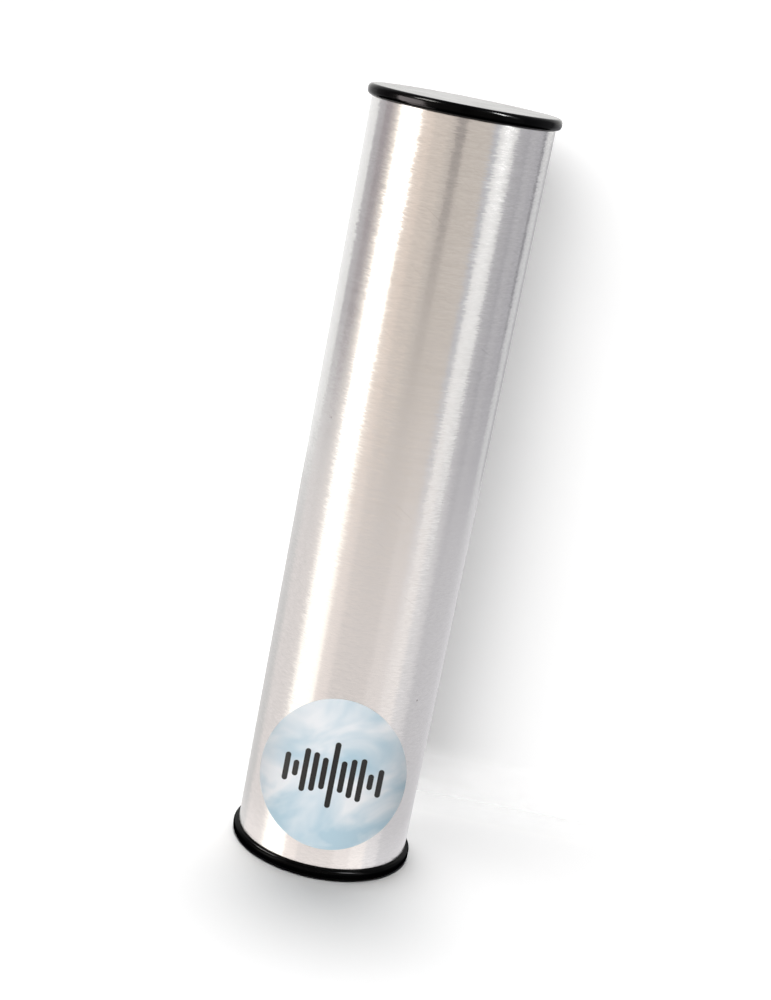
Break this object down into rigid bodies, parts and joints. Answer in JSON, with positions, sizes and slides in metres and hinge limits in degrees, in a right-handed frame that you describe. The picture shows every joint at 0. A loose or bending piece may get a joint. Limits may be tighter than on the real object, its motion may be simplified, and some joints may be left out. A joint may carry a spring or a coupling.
{
  "type": "tube shaker",
  "caption": "Hand-held ganza shaker: a brushed aluminium tube closed by black push-in end caps, with a round sticker and loose steel shot that runs from cap to cap when it is shaken.",
  "frame": {"origin": "centre of the lower cap's outer face, on which the shaker stands", "axes": "+Z along the tube, from the end nearest the sticker to the other end; the sticker faces -Y"},
  "size_m": [0.0536, 0.0536, 0.2223],
  "materials": {
    "brushed_aluminium": "brushed round the tube",
    "cap_plastic": "glossy black",
    "sticker": "satin vinyl with a cloudy pale blue print",
    "shot_steel": "tumbled bright steel"
  },
  "bodies": {
    "case": {"tube": "brushed_aluminium", "lower_cap": "cap_plastic", "upper_cap": "cap_plastic", "label": "sticker"},
    "shot": {"shot_layer_1": "shot_steel", "shot_layer_2": "shot_steel", "shot_layer_3": "shot_steel", "shot_layer_4": "shot_steel"}
  },
  "joints": [
    {"name": "shot_slide", "type": "slide", "parent": "case", "child": "shot", "axis": [0, 0, 1], "range_m": [0, 0.1976]}
  ]
}
